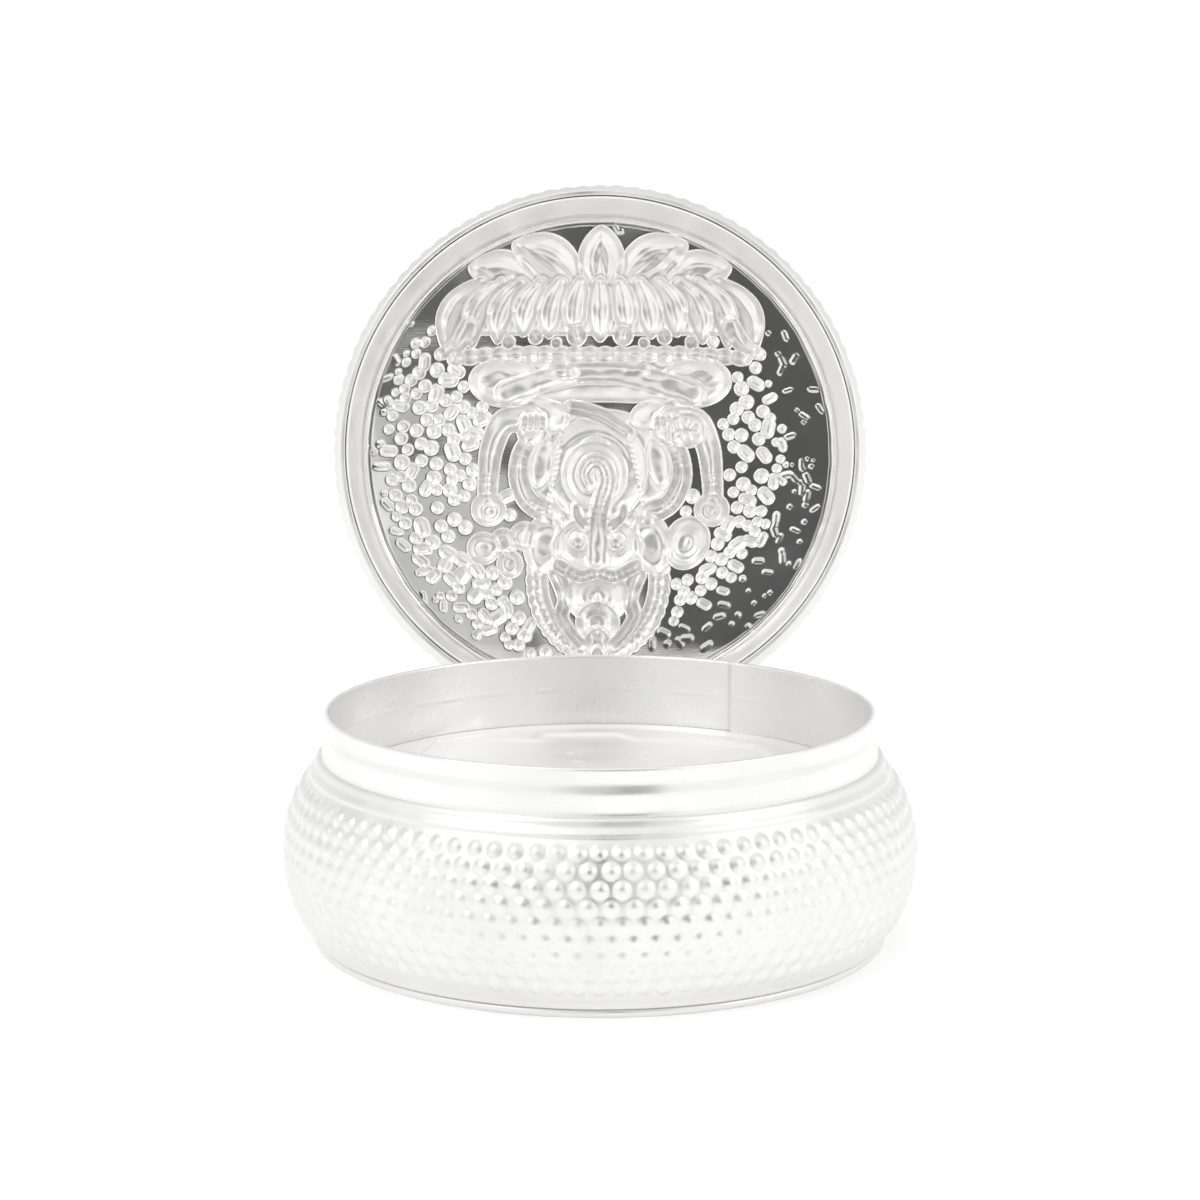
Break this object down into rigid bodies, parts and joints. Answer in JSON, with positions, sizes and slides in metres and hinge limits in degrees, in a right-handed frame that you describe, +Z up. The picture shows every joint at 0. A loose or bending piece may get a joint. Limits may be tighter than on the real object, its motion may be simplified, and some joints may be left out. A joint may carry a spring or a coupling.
{
  "type": "pill box",
  "caption": "Small round metal pill box with a bulging beaded body, a plain upright collar around a shallow tray, and a hinged domed lid with a stamped panel, stored open.",
  "frame": {"origin": "middle of the flat underside, on the round body's own axis, at the level of the table", "axes": "+Z up along the body's axis; +X to the right seen from the front; -Y towards the front, with the hinge at the back on +Y"},
  "size_m": [0.0416, 0.0544, 0.048],
  "materials": {
    "polished_silver": "polished silver, beaded on the walls",
    "satin_silver": "satin silver with fine brushing",
    "stamped_silver": "mirror-bright stamped silver"
  },
  "bodies": {
    "base": {"body_shell": "polished_silver", "base_plate": "polished_silver", "collar": "satin_silver", "tray_floor": "satin_silver", "hinge_trough": "polished_silver", "base_knuckle_left": "polished_silver", "base_knuckle_right": "polished_silver", "hinge_pin": "polished_silver"},
    "lid": {"lid_shell": "polished_silver", "lid_liner": "satin_silver", "lid_panel": "stamped_silver", "lid_hinge_leaf": "polished_silver", "lid_knuckle": "polished_silver"}
  },
  "joints": [
    {"name": "lid_hinge", "type": "hinge", "parent": "base", "child": "lid", "pos_m": [0, 0.0195, 0.0103], "axis": [1, 0, 0], "range_deg": [0, 100]}
  ]
}
